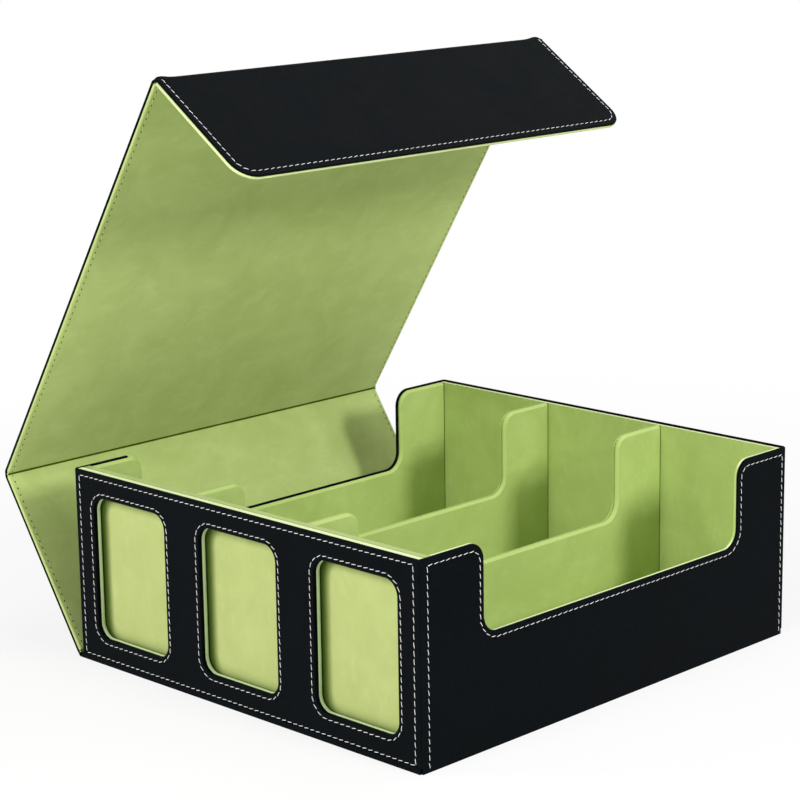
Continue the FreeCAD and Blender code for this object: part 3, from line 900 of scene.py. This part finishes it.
@dataclass
class Tray:
    """The tray's outside, read from the frame, with its seams, turned edges and dark strips of painted shade.
    """

    palette: Palette
    scoop: ScoopedEdge = ScoopedEdge()
    leather_gauge: float = 1.2 * MM
    side_edge: float = 4.0 * MM
    top_edge: float = 3.0 * MM
    foot_edge: float = 4.2 * MM
    panel_corner: float = 0.8 * MM
    scoop_edge: float = 3.1 * MM
    wall_top_edge: float = 3.9 * MM
    wall_front_edge: float = 5.6 * MM
    wall_back_edge: float = 3.4 * MM
    wall_corner: float = 1.0 * MM
    right_foot_edge: float = 1.5 * MM
    dividers: tuple[int, ...] = (1, 2)
    windows: int = 3
    window_edge: float = 2.55 * MM
    window_width: float = 59.1 * MM
    window_height: float = 81.1 * MM
    window_sill: float = 15.3 * MM
    window_margin: float = 15.55 * MM
    window_radius: float = 8.5 * MM
    roll_end: float = 2 * MM
    # Size and place of the dark strips of painted shade in the inner corners.
    joint_shade_width: float = 0.5 * MM
    joint_shade_lift: float = 0.12 * MM
    joint_shade_drop: float = 0.3 * MM
    joint_shade_section: Section = ((0, 0), (0, 1), (0.5, 1), (1, 0.6), (1, 0))
    # Half width and lift of the dark line of painted shade on the dividers' edges.
    edge_shade_half: float = 0.17 * MM
    edge_shade_lift: float = 0.04 * MM
    rim_section: Section = in_mm((
        (-0.8, 0.06), (0.05, 0.06), (0.28, -0.15), (0.36, -0.6),
        (0.36, -1.15), (0.22, -1.55), (-0.1, -1.75), (-0.8, -1.75),
    ))
    roll_section: Section = in_mm((
        (-0.9, -0.5), (-0.3, -0.35), (0.15, -0.7), (0.15, -1.2),
        (-0.1, -1.7), (-0.7, -2.3), (-1.2, -2.3), (-1.2, -1.5),
    ))
    low: Vector = field(default_factory=Vector)
    high: Vector = field(default_factory=Vector)

    def measure(self) -> None:
        """Read the tray's outside from the frame."""
        front_low, front_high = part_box("front_frame_leather")
        back_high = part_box("back_wall_leather")[1]
        self.low = Vector((front_low.x, front_low.y, 0))
        self.high = Vector((back_high.x, back_high.y, front_high.z))

    @property
    def width(self) -> float:
        """The tray's length along X."""
        return self.high.x - self.low.x

    @property
    def depth(self) -> float:
        """The tray's length along Y."""
        return self.high.y - self.low.y

    def front_face(self) -> Plane:
        """Return the window wall's outer face."""
        return Plane(self.low, Vector((1, 0, 0)), Vector((0, 0, 1)), Vector((0, -1, 0)))

    def back_face(self) -> Plane:
        """Return the back wall's outer face."""
        start = Vector((self.high.x, self.high.y, 0))
        return Plane(start, Vector((-1, 0, 0)), Vector((0, 0, 1)), Vector((0, 1, 0)))

    def side_face(self, side: int) -> Plane:
        """Return the left (-1) or right (1) wall's outer face."""
        start = Vector((self.high.x if side > 0 else self.low.x, self.low.y, 0))
        return Plane(start, Vector((0, 1, 0)), Vector((0, 0, 1)), Vector((side, 0, 0)))

    def window_seams(self) -> list[Seam]:
        """Plan the rings of stitches round the three windows.

        Returns:
            The three seams.
        """
        first = self.window_margin + self.window_width / 2
        foot = self.window_sill - self.window_edge
        head = self.window_sill + self.window_height + self.window_edge
        round_by = self.window_radius + self.window_edge
        seams = []
        for number in range(self.windows):
            middle = first + (self.width / 2 - first) * number
            left = middle - self.window_width / 2 - self.window_edge
            right = middle + self.window_width / 2 + self.window_edge
            ring = ((right, foot), (right, head), (left, head), (left, foot))
            corners = [Corner(middle, foot), *(Corner(*spot, round_by) for spot in ring)]
            name = f"window_{number + 1}_seam"
            seams.append(Seam(name, "tray", self.front_face(), corners, closed=True))
        return seams

    def panel_seam(self, name: str, face: Plane) -> Seam:
        """Return the ring of stitches round the front or the back face.

        Args:
            name: The seam's name.
            face: The face.

        Returns:
            The seam.
        """
        left, right = self.side_edge, self.width - self.side_edge
        foot, head = self.foot_edge, self.high.z - self.top_edge
        ring = ((left, foot), (right, foot), (right, head), (left, head))
        corners = [Corner(*spot, self.panel_corner) for spot in ring]
        return Seam(name, "tray", face, corners, closed=True)

    def side_seam(self, name: str, side: int) -> Seam:
        """Return the row of stitches that follows a side wall's scooped edge.

        Args:
            name: The seam's name.
            side: -1 for the left wall, 1 for the right one.

        Returns:
            The seam.
        """
        head = self.high.z - self.wall_top_edge
        foot = self.right_foot_edge if side > 0 else self.foot_edge
        front, back = self.wall_front_edge, self.depth - self.wall_back_edge
        corners = [
            Corner(front, foot),
            Corner(front, head, self.wall_corner),
            *self.scoop.corners(self.depth, head, self.scoop_edge),
            Corner(back, head, self.wall_corner),
            Corner(back, foot),
        ]
        return Seam(name, "tray", self.side_face(side), corners)

    def rim_bands(self) -> list[EdgeBand]:
        """Plan the leather bands turned over the left wall's and the back wall's top edges.

        The left wall's band leaves out the front end of the scoop, where its suede is
        rolled over the leather.

        Returns:
            The three bands.
        """
        face, head, inset = self.side_face(-1), self.high.z, self.leather_gauge
        front_crest, front_dip, back_dip, back_crest = self.left_scoop()
        back = [Corner(self.depth - inset, head), back_crest, back_dip, self.scoop_break(front_dip)]
        front = [self.land_break(front_crest), Corner(inset, head)]
        wide = [Corner(self.width - inset, head), Corner(inset, head)]
        return [
            EdgeBand("left_wall_back_rim", "tray", face, back, self.rim_section),
            EdgeBand("left_wall_front_rim", "tray", face, front, self.rim_section),
            EdgeBand("back_wall_rim", "tray", self.back_face(), wide, self.rim_section),
        ]

    def rolled_suede(self) -> EdgeBand:
        """Plan the suede rolled over the front end of the left wall's scoop.

        Returns:
            The band.
        """
        crest, dip = self.left_scoop()[:2]
        path = [self.scoop_break(dip), dip, crest, self.land_break(crest)]
        name, face = "left_wall_rolled_suede", self.side_face(-1)
        return EdgeBand(name, "tray", face, path, self.roll_section, Finish.SUEDE)

    def left_scoop(self) -> list[Corner]:
        """Return the corners of the left wall's scoop, from front to back."""
        return self.scoop.corners(self.depth, self.high.z, 0.0)

    def scoop_break(self, dip: Corner) -> Corner:
        """Return where the rolled suede ends on the scoop's floor."""
        return Corner(dip.right + self.scoop.hollow_radius + self.roll_end, dip.up)

    def land_break(self, crest: Corner) -> Corner:
        """Return where the rolled suede ends on the front land."""
        return Corner(crest.right - self.scoop.crest_radius, crest.up)

    def paint_joint_shade(self, name: str, x: float, y: float, side: int, turn: int, head: float) -> Piece:
        """Build a dark strip of painted shade in an inner corner where two linings meet.

        Args:
            name: The strip's name.
            x: The corner's place along X.
            y: The corner's place along Y.
            side: The direction of the room beside the corner, along X.
            turn: The direction of the room beside the corner, along Y.
            head: The height of the strip's upper end.

        Returns:
            The strip.
        """
        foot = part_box("floor_lining_1")[1].z
        across, along = side * self.joint_shade_lift, turn * self.joint_shade_width
        shape = bmesh.new()
        close_sleeve(shape, [
            [
                shape.verts.new((x + across * lift, y + along * reach, height))
                for lift, reach in self.joint_shade_section
            ]
            for height in (foot, head)
        ])
        return new_piece(name, shape, smooth=False)

    def build_joint_shades(self) -> None:
        """Build the dark strips of painted shade where dividers and side walls meet the front and back walls.
        """
        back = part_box("back_wall_lining")[0].y
        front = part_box("front_backing_lining")[1].y
        faces = [("left_wall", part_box("left_wall_lining")[1].x, 1)]
        faces.append(("right_wall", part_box("right_wall_lining")[0].x, -1))
        for number in self.dividers:
            low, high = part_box(f"divider_{number}_lining")
            faces.append((f"divider_{number}_left", low.x, -1))
            faces.append((f"divider_{number}_right", high.x, 1))
        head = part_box("back_wall_lining")[1].z - self.joint_shade_drop
        for name, x, side in faces:
            for word, y, turn in (("back", back, -1), ("front", front, 1)):
                shade_piece = self.paint_joint_shade(f"{name}_{word}_crease", x, y, side, turn, head)
                self.palette.dress(shade_piece, Finish.SHADE_SUEDE)
                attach(shade_piece, "tray")
                log.info("%s: %s", shade_piece.name, Finish.SHADE_SUEDE.value.name)

    def paint_edge_shade(self, number: int) -> None:
        """Build the fine dark line of painted shade along the middle of a divider's edge, in the small
        channel where its suede meets.

        Args:
            number: The divider's number.
        """
        low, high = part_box(f"divider_{number}_lining")
        middle, half = (low.x + high.x) / 2, self.edge_shade_half
        lip = self.high.z - high.z
        path = seam_path([
            Corner(low.y - self.low.y, high.z),
            *self.scoop.corners(self.depth, high.z, lip),
            Corner(high.y - self.low.y, high.z),
        ])
        shape = bmesh.new()
        rows = []
        for spot, along in zip(path, headings(path)):
            lifted = spot + Vector((-along.y, along.x, 0)) * self.edge_shade_lift
            place_y = self.low.y + lifted.x
            rows.append([shape.verts.new((middle + shift, place_y, lifted.y)) for shift in (-half, half)])
        for first, second in zip(rows, rows[1:]):
            shape.faces.new((*first, *reversed(second)))
        shade_piece = new_piece(f"divider_{number}_paint_edge_shade", shape)
        self.palette.dress(shade_piece, Finish.SHADE_SUEDE)
        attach(shade_piece, "tray")
        log.info("%s: %s", shade_piece.name, Finish.SHADE_SUEDE.value.name)

    def build(self) -> None:
        """Build every seam and turned edge of the tray and its dark strips of painted shade."""
        self.measure()
        for trim in (
            *self.window_seams(),
            self.panel_seam("front_seam", self.front_face()),
            self.panel_seam("back_seam", self.back_face()),
            self.side_seam("right_seam", 1),
            self.side_seam("left_seam", -1),
            *self.rim_bands(),
            self.rolled_suede(),
        ):
            trim.build(self.palette)
        self.build_joint_shades()
        for number in self.dividers:
            self.paint_edge_shade(number)


# ------------------------------------------------------------------ cover


@dataclass(frozen=True)
class PanelFrame:
    """Where a cover panel lies: its fold, its slope and its length."""

    name: str
    fold: Vector
    along: Vector
    length: float

    @property
    def outward(self) -> Vector:
        """The direction out of the panel's leather."""
        return Vector((-self.along.z, 0, self.along.x))

    def spot(self, along: float, out: float) -> Vector:
        """Return a point by its distance along the panel and outward, at y 0."""
        return self.fold + self.along * along + self.outward * out

    def face(self, side: int, half_thickness: float) -> Plane:
        """Return the panel's leather face (side 1) or suede face (side -1)."""
        origin = self.spot(0, side * half_thickness)
        return Plane(origin, self.along, Vector((0, 1, 0)), self.outward * side)


def bell(value: float, middle: float, spread: float) -> float:
    """Return a bell curve's height, which is 1 at its middle."""
    return math.exp(-(((value - middle) / spread) ** 2))


@dataclass(frozen=True)
class FoldShape:
    """How a fold's layers bend, sink into a groove and stand up at their stiff ends."""

    steps: int = 20
    setback: float = 2.2 * MM
    outer_pull: float = 0.5
    inner_pull: float = 0.38
    groove_depth: float = 0.7 * MM
    groove_spread: float = 0.11
    # How many faces each side of the inner groove's middle take the dark suede of painted shade.
    groove_shade_steps: int = 6
    end_rise: float = 0.9 * MM
    rise_place: float = 4 * MM
    rise_spread: float = 5 * MM
    end_round: float = 1.0 * MM
    round_spread: float = 1.2 * MM
    end_rows_mm: tuple[float, ...] = (0, 0.3, 0.7, 1.2, 2, 3, 4.5, 6, 8, 10, 13, 17)
    end_zone: float = 20 * MM
    middle_rows: int = 50

    def rows(self, half_depth: float) -> list[float]:
        """Place a fold's rows, closer together at its two ends.

        Args:
            half_depth: Half of the fold's length.

        Returns:
            The rows' places along Y.
        """
        inner = half_depth - self.end_zone
        front = [distance * MM - half_depth for distance in self.end_rows_mm]
        return [
            *front,
            *(inner * (2 * number / self.middle_rows - 1) for number in range(self.middle_rows + 1)),
            *(-place for place in reversed(front)),
        ]

    def end_lift(self, distance: float) -> float:
        """Return a fold's lift at a distance from its stiff end, where it dips and rounds the corner."""
        rise = self.end_rise * bell(distance, self.rise_place, self.rise_spread)
        return rise - self.end_round * bell(distance, 0.0, self.round_spread)


@dataclass
class Cover:
    """The wraparound cover: spine, lid and flap with their folds and seams."""

    palette: Palette
    frame: dict
    leather_gauge: float = 1.2 * MM
    suede_gauge: float = 0.8 * MM
    bend: FoldShape = FoldShape()
    flap_inside_angle: float = math.radians(87)
    flap_seam_start: float = 1.0 * MM
    flap_corner: float = 12.5 * MM
    edge_section: Section = in_mm((
        (-0.7, 0.05), (-0.1, 0.05), (0.12, -0.15), (0.2, -0.5), (0.2, -1.5), (0.1, -1.75), (-0.7, -1.75),
    ))
    hem_section: Section = in_mm((
        (-1.5, -1.25), (0.1, -1.25), (0.3, -1.5), (0.38, -2.0),
        (0.3, -2.6), (0.05, -3.0), (-0.4, -3.24), (-1.5, -3.24),
    ))
    half_thickness: float = 0.0
    half_depth: float = 0.0
    panels: dict[str, PanelFrame] = field(default_factory=dict)

    def measure(self) -> None:
        """Read the folds' places from the frame's joints."""
        folds = {joint["child"]: Vector(joint["pos_m"]) for joint in self.frame["joints"]}
        low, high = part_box("lid_leather")
        self.half_depth = (high.y - low.y) / 2
        roll_low, roll_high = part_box("fold_spine")
        self.half_thickness = (roll_high.z - roll_low.z) / 2
        spine = folds["lid"] - folds["spine"]
        lid = folds["flap"] - folds["lid"]
        lean = math.atan2(lid.z, lid.x) - math.pi + self.flap_inside_angle
        flap = Vector((math.cos(lean), 0, math.sin(lean)))
        flap_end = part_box("flap_leather")[1].x
        reach = (flap_end - folds["flap"].x + self.half_thickness * flap.z) / flap.x
        self.panels = {
            "tray": PanelFrame("tray", folds["spine"], Vector((-1, 0, 0)), 0.0),
            "spine": PanelFrame("spine", folds["spine"], spine.normalized(), spine.length),
            "lid": PanelFrame("lid", folds["lid"], lid.normalized(), lid.length),
            "flap": PanelFrame("flap", folds["flap"], flap, reach),
        }

    def fold_ends(self, before: PanelFrame, after: PanelFrame, level: float) -> tuple[Vector, Vector]:
        """Return where a layer at a level leaves the panel before a fold and meets the one after."""
        lead = self.bend.setback if before.length else 0.0
        return before.spot(before.length - lead, level), after.spot(self.bend.setback, level)

    def fold_profile(self, before: PanelFrame, after: PanelFrame, side: int, depth: float) -> list[Vector]:
        """Draw a smooth section curve across a fold, at y 0.

        Args:
            before: The panel that ends at the fold.
            after: The panel that starts there.
            side: 1 outside, -1 inside.
            depth: How far under the panels' faces the curve runs.

        Returns:
            The curve's points.
        """
        bend = self.bend
        start, end = self.fold_ends(before, after, side * (self.half_thickness - depth))
        pull = (end - start).length * (bend.outer_pull if side > 0 else bend.inner_pull)
        first = start + before.along * pull
        second = end - after.along * pull
        groove = bend.groove_depth if side < 0 else 0.0
        middle_out = (before.outward + after.outward).normalized() * (-side)
        points = []
        for step in range(bend.steps + 1):
            share = step / bend.steps
            rest = 1 - share
            spot = start * rest**3 + first * (3 * rest**2 * share)
            spot += second * (3 * rest * share**2) + end * share**3
            points.append(spot + middle_out * (groove * bell(share, 0.5, bend.groove_spread)))
        return points

    def fold_skin(self, name: str, before: PanelFrame, after: PanelFrame, side: int, gauge: float) -> Piece:
        """Build one layer that bends round a fold: the leather outside or the suede inside.

        Args:
            name: The piece's name.
            before: The panel that ends at the fold.
            after: The panel that starts there.
            side: 1 for leather, -1 for suede.
            gauge: The layer's thickness.

        Returns:
            The layer.
        """
        count = self.bend.steps
        places = self.bend.rows(self.half_depth)
        outward = (before.outward + after.outward).normalized()
        bow = [math.sin(math.pi * step / count) ** 2 for step in range(count + 1)]
        shape = bmesh.new()
        sheets = []
        for depth in (0.0, gauge):
            profile = self.fold_profile(before, after, side, depth)
            sheet = []
            for place in places:
                shift = Vector((0, place, 0))
                rise = self.bend.end_lift(self.half_depth - abs(place)) if side > 0 else 0.0
                sheet.append([
                    shape.verts.new(point + shift + outward * rise * share)
                    for point, share in zip(profile, bow)
                ])
            sheets.append(sheet)
        for sheet in sheets:
            for first, second in zip(sheet, sheet[1:]):
                for step in range(count):
                    face = (first[step], first[step + 1], second[step + 1], second[step])
                    # The groove's middle faces take the second slot, dark suede of painted shade.
                    in_groove_shade = side < 0 and abs(step + 0.5 - count / 2) < self.bend.groove_shade_steps
                    shape.faces.new(face).material_index = int(in_groove_shade)
        outer, inner = sheets
        walls = [(outer[row], inner[row]) for row in (0, -1)]
        walls += [([line[edge] for line in outer], [line[edge] for line in inner]) for edge in (0, -1)]
        for top, foot in walls:
            for step in range(len(top) - 1):
                shape.faces.new((top[step], top[step + 1], foot[step + 1], foot[step]))
        return new_piece(name, shape)

    def build_fold(self, first: str, second: str, node: str) -> None:
        """Build both layers of a fold between its two bodies and hide the CAD roll that they stand for.

        Args:
            first: The body before the fold.
            second: The body after it.
            node: The CAD roll that the layers stand for.
        """
        before, after = self.panels[first], self.panels[second]
        leather = self.fold_skin(f"{node}_leather", before, after, 1, self.leather_gauge)
        suede = self.fold_skin(f"{node}_suede", before, after, -1, self.suede_gauge)
        self.palette.dress(leather, Finish.LEATHER)
        # The suede's second slot is the painted shade in the fold's groove.
        for finish in (Finish.COVER_SUEDE, Finish.SHADE_SUEDE):
            suede.data.materials.append(self.palette.materials[finish])
        for layer, slot in ((leather, "leather"), (suede, "suede")):
            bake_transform(layer)
        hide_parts(node)
        log.info("%s: leather and suede across %s and %s", node, first, second)

    def edge_path(self, panel: PanelFrame, end: int, inset: float) -> list[Corner]:
        """Follow a panel's front (-1) or back (1) edge at a distance inside it."""
        place = end * (self.half_depth - inset)
        return [Corner(self.bend.setback, place), Corner(panel.length - self.bend.setback, place)]

    def edge_seams(self, panel: PanelFrame, sewing: Sewing) -> list[Seam]:
        """Plan the two rows of stitches along a panel's front and back edges.

        Args:
            panel: The spine or the lid.
            sewing: The outer or the inner sewing.

        Returns:
            The two seams.
        """
        face = panel.face(sewing.side, self.half_thickness)
        seams = []
        for word, end in (("front", -1), ("back", 1)):
            name = f"{panel.name}_{word}_{sewing.layer}_seam"
            seams.append(Seam(name, panel.name, face, self.edge_path(panel, end, sewing.edge), sewing))
        return seams

    def flap_outline(self, start: float, inset: float) -> list[Corner]:
        """Follow the flap's three free edges.

        Args:
            start: How far from the fold the path starts and ends.
            inset: The distance inside the edges.

        Returns:
            The path's four corners.
        """
        edge, end = self.half_depth - inset, self.panels["flap"].length - inset
        round_off = self.flap_corner - inset
        front = [Corner(start, -edge), Corner(end, -edge, round_off)]
        return [*front, Corner(end, edge, round_off), Corner(start, edge)]

    def flap_seam(self, sewing: Sewing) -> Seam:
        """Plan the row of stitches along the flap's three free edges.

        Args:
            sewing: The outer or the inner sewing.

        Returns:
            The seam.
        """
        start = self.flap_seam_start if sewing.side > 0 else self.bend.setback
        face = self.panels["flap"].face(sewing.side, self.half_thickness)
        outline = self.flap_outline(start, sewing.edge)
        return Seam(f"flap_{sewing.layer}_seam", "flap", face, outline, sewing)

    def edge_bands(self, panel: PanelFrame) -> list[EdgeBand]:
        """Plan the leather bands turned over a panel's front and back edges.

        Args:
            panel: The spine or the lid.

        Returns:
            The two bands.
        """
        face, front = panel.face(1, self.half_thickness), self.edge_path(panel, -1, 0.0)
        back = self.edge_path(panel, 1, 0.0)[::-1]
        return [
            EdgeBand(f"{panel.name}_{word}_edge", panel.name, face, path, self.edge_section)
            for word, path in (("front", front), ("back", back))
        ]

    def flap_hem(self) -> EdgeBand:
        """Plan the full suede hem along the flap's three free edges.

        Returns:
            The band.
        """
        face = self.panels["flap"].face(1, self.half_thickness)
        path = self.flap_outline(self.bend.setback, 0.0)
        return EdgeBand("flap_hem", "flap", face, path, self.hem_section, Finish.HEM)

    def build(self) -> None:
        """Build the cover's folds, turned edges and seams."""
        self.measure()
        self.build_fold("tray", "spine", "fold_base")
        self.build_fold("spine", "lid", "fold_spine")
        self.build_fold("lid", "flap", "fold_flap")
        straight = (self.panels["spine"], self.panels["lid"])
        trims = [band for panel in straight for band in self.edge_bands(panel)]
        trims.append(self.flap_hem())
        for sewing in (OUTER_SEWING, INNER_SEWING):
            trims += [seam for panel in straight for seam in self.edge_seams(panel, sewing)]
            trims.append(self.flap_seam(sewing))
        for trim in trims:
            trim.build(self.palette)


# ------------------------------------------------------------------ carried-over nodes


LINING_FINISHES = {
    "front_backing_lining": Finish.BACKING,
    "front_frame_lining": Finish.FRAME_SUEDE,
    "right_wall_lining": Finish.WALL_SUEDE,
    "back_wall_lining": Finish.WALL_SUEDE,
    "base_hinge_lining": Finish.COVER_SUEDE,
    "spine_lining": Finish.COVER_SUEDE,
    "lid_lining": Finish.COVER_SUEDE,
    "flap_lining": Finish.COVER_SUEDE,
}


def finish_of(node: str) -> Finish:
    """Choose a CAD node's finish by its name.

    Args:
        node: The node's name.

    Returns:
        The finish.
    """
    if "magnet" in node:
        return Finish.MAGNET
    if "lining" in node:
        return LINING_FINISHES.get(node, Finish.SUEDE)
    if "leather" in node or node.startswith("fold_"):
        return Finish.LEATHER
    return Finish.BOARD


def dress_nodes(frame: dict, palette: Palette) -> None:
    """Give every CAD node its finish.

    Args:
        frame: The loaded frame.
        palette: The materials.
    """
    for name, node in frame["nodes"].items():
        finish = finish_of(name)
        palette.dress(node, finish)
        log.info("%s: %s", name, finish.value.name)


# ------------------------------------------------------------------ studio


def seen_rays(sheet: NodeSheet) -> Socket:
    """Pick out the rays that show the backdrop and don't light the object.

    Args:
        sheet: The tree that asks.

    Returns:
        A socket that is 1 for camera, glossy and transmission rays.
    """
    path = sheet.add("ShaderNodeLightPath")
    seen = sheet.math("MAXIMUM", path.outputs["Is Camera Ray"], path.outputs["Is Glossy Ray"])
    return sheet.math("MAXIMUM", seen, path.outputs["Is Transmission Ray"])


@dataclass(frozen=True)
class CameraPlace:
    """Where the camera stands and how it looks."""

    azimuth: float = math.radians(44.727)
    elevation: float = math.radians(13.051)
    roll: float = math.radians(-0.859)
    place: tuple[float, float, float] = (0.93265, -0.96715, 0.45457)
    focal_length: float = 111.84
    farthest: float = 20.0

    def build(self) -> None:
        """Make the camera."""
        reach = math.cos(self.elevation)
        back = Vector((
            math.sin(self.azimuth) * reach, -math.cos(self.azimuth) * reach, math.sin(self.elevation)
        ))
        level = Vector((math.cos(self.azimuth), math.sin(self.azimuth), 0))
        upright = back.cross(level)
        right = level * math.cos(self.roll) + upright * math.sin(self.roll)
        up = upright * math.cos(self.roll) - level * math.sin(self.roll)
        data = bpy.data.cameras.new("camera")
        data.lens = self.focal_length
        data.clip_end = self.farthest
        camera = bpy.data.objects.new("camera", data)
        rotation = Matrix((right, up, back)).transposed().to_4x4()
        camera.matrix_world = Matrix.Translation(self.place) @ rotation
        bpy.context.scene.collection.objects.link(camera)
        bpy.context.scene.camera = camera


@dataclass(frozen=True)
class Softbox:
    """One square studio lamp aimed at the tray."""

    name: str
    place: tuple[float, float, float]
    size: float
    power: float
    target: tuple[float, float, float] = (-0.03, 0.0, 0.1)

    def build(self) -> None:
        """Make the lamp."""
        data = bpy.data.lights.new(self.name, "AREA")
        data.shape = "SQUARE"
        data.size = self.size
        data.energy = self.power
        lamp = bpy.data.objects.new(self.name, data)
        lamp.location = self.place
        aim = Vector(self.target) - Vector(self.place)
        lamp.rotation_euler = aim.to_track_quat("-Z", "Y").to_euler()
        bpy.context.scene.collection.objects.link(lamp)


@dataclass(frozen=True)
class Studio:
    """The white floor, the surrounding light and the lamps."""

    surround: float = 0.24
    floor_size: float = 6.0
    floor_white: float = 0.9
    floor_light: float = 0.8
    fade_start: float = 0.25
    fade_end: float = 0.75
    lamps: tuple[Softbox, ...] = (
        Softbox("front_lamp", (0.255, -2.029, 1.164), 1.2, 33.0),
        Softbox("side_lamp", (2.037, 0.0, 1.128), 0.4, 26.0),
        Softbox("left_lamp", (-1.535, -1.672, 0.598), 0.4, 19.0),
        Softbox("back_lamp", (0.182, 1.2, 2.071), 1.2, 12.0),
        Softbox("right_lamp", (1.79, 0.488, 1.439), 0.8, 8.0),
    )

    def build_world(self) -> None:
        """Light the scene evenly and show white behind the object."""
        world = bpy.data.worlds.new("surround")
        world.use_nodes = True
        bpy.context.scene.world = world
        world.node_tree.nodes.clear()
        sheet = NodeSheet(world.node_tree)
        light, seen = (
            sheet.wired("ShaderNodeBackground", "Background", {"Color": (1, 1, 1, 1), "Strength": strength})
            for strength in (self.surround, 1.0)
        )
        mix = sheet.wired("ShaderNodeMixShader", "Shader", {0: seen_rays(sheet), 1: light, 2: seen})
        sheet.feed(sheet.add("ShaderNodeOutputWorld").inputs["Surface"], mix)

    def build_floor(self) -> None:
        """Make the pale floor, which looks white and keeps a faint shadow."""
        shape = bmesh.new()
        bmesh.ops.create_grid(shape, x_segments=4, y_segments=4, size=self.floor_size / 2)
        floor = new_piece("floor", shape, smooth=False)
        material = bpy.data.materials.new("pale_floor")
        material.use_nodes = True
        material.node_tree.nodes.clear()
        sheet = NodeSheet(material.node_tree)
        white = (*[self.floor_white] * 3, 1)
        paint = sheet.wired("ShaderNodeBsdfDiffuse", "BSDF", {"Color": white})
        glow = sheet.wired("ShaderNodeEmission", "Emission", {"Strength": 1.0})
        place = sheet.add("ShaderNodeTexCoord").outputs["Object"]
        distance = sheet.wired("ShaderNodeVectorMath", "Value", {0: place}, operation="LENGTH")
        fade = sheet.ramp(distance, self.fade_start, self.fade_end, self.floor_light)
        share = sheet.math("MULTIPLY", seen_rays(sheet), fade)
        mix = sheet.wired("ShaderNodeMixShader", "Shader", {0: share, 1: paint, 2: glow})
        sheet.feed(sheet.add("ShaderNodeOutputMaterial").inputs["Surface"], mix)
        floor.data.materials.append(material)

    def build(self) -> None:
        """Make the studio."""
        bpy.context.scene.view_settings.view_transform = "Standard"
        self.build_world()
        self.build_floor()
        for lamp in self.lamps:
            lamp.build()
            log.info("%s: %g W", lamp.name, lamp.power)


# ------------------------------------------------------------------ the whole


def main() -> None:
    """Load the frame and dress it."""
    logging.basicConfig(level=logging.INFO, format="%(message)s")
    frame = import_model()
    palette = Palette()
    CameraPlace().build()
    Studio().build()
    dress_nodes(frame, palette)
    Tray(palette).build()
    Cover(palette, frame).build()


if __name__ == "__main__":
    main()
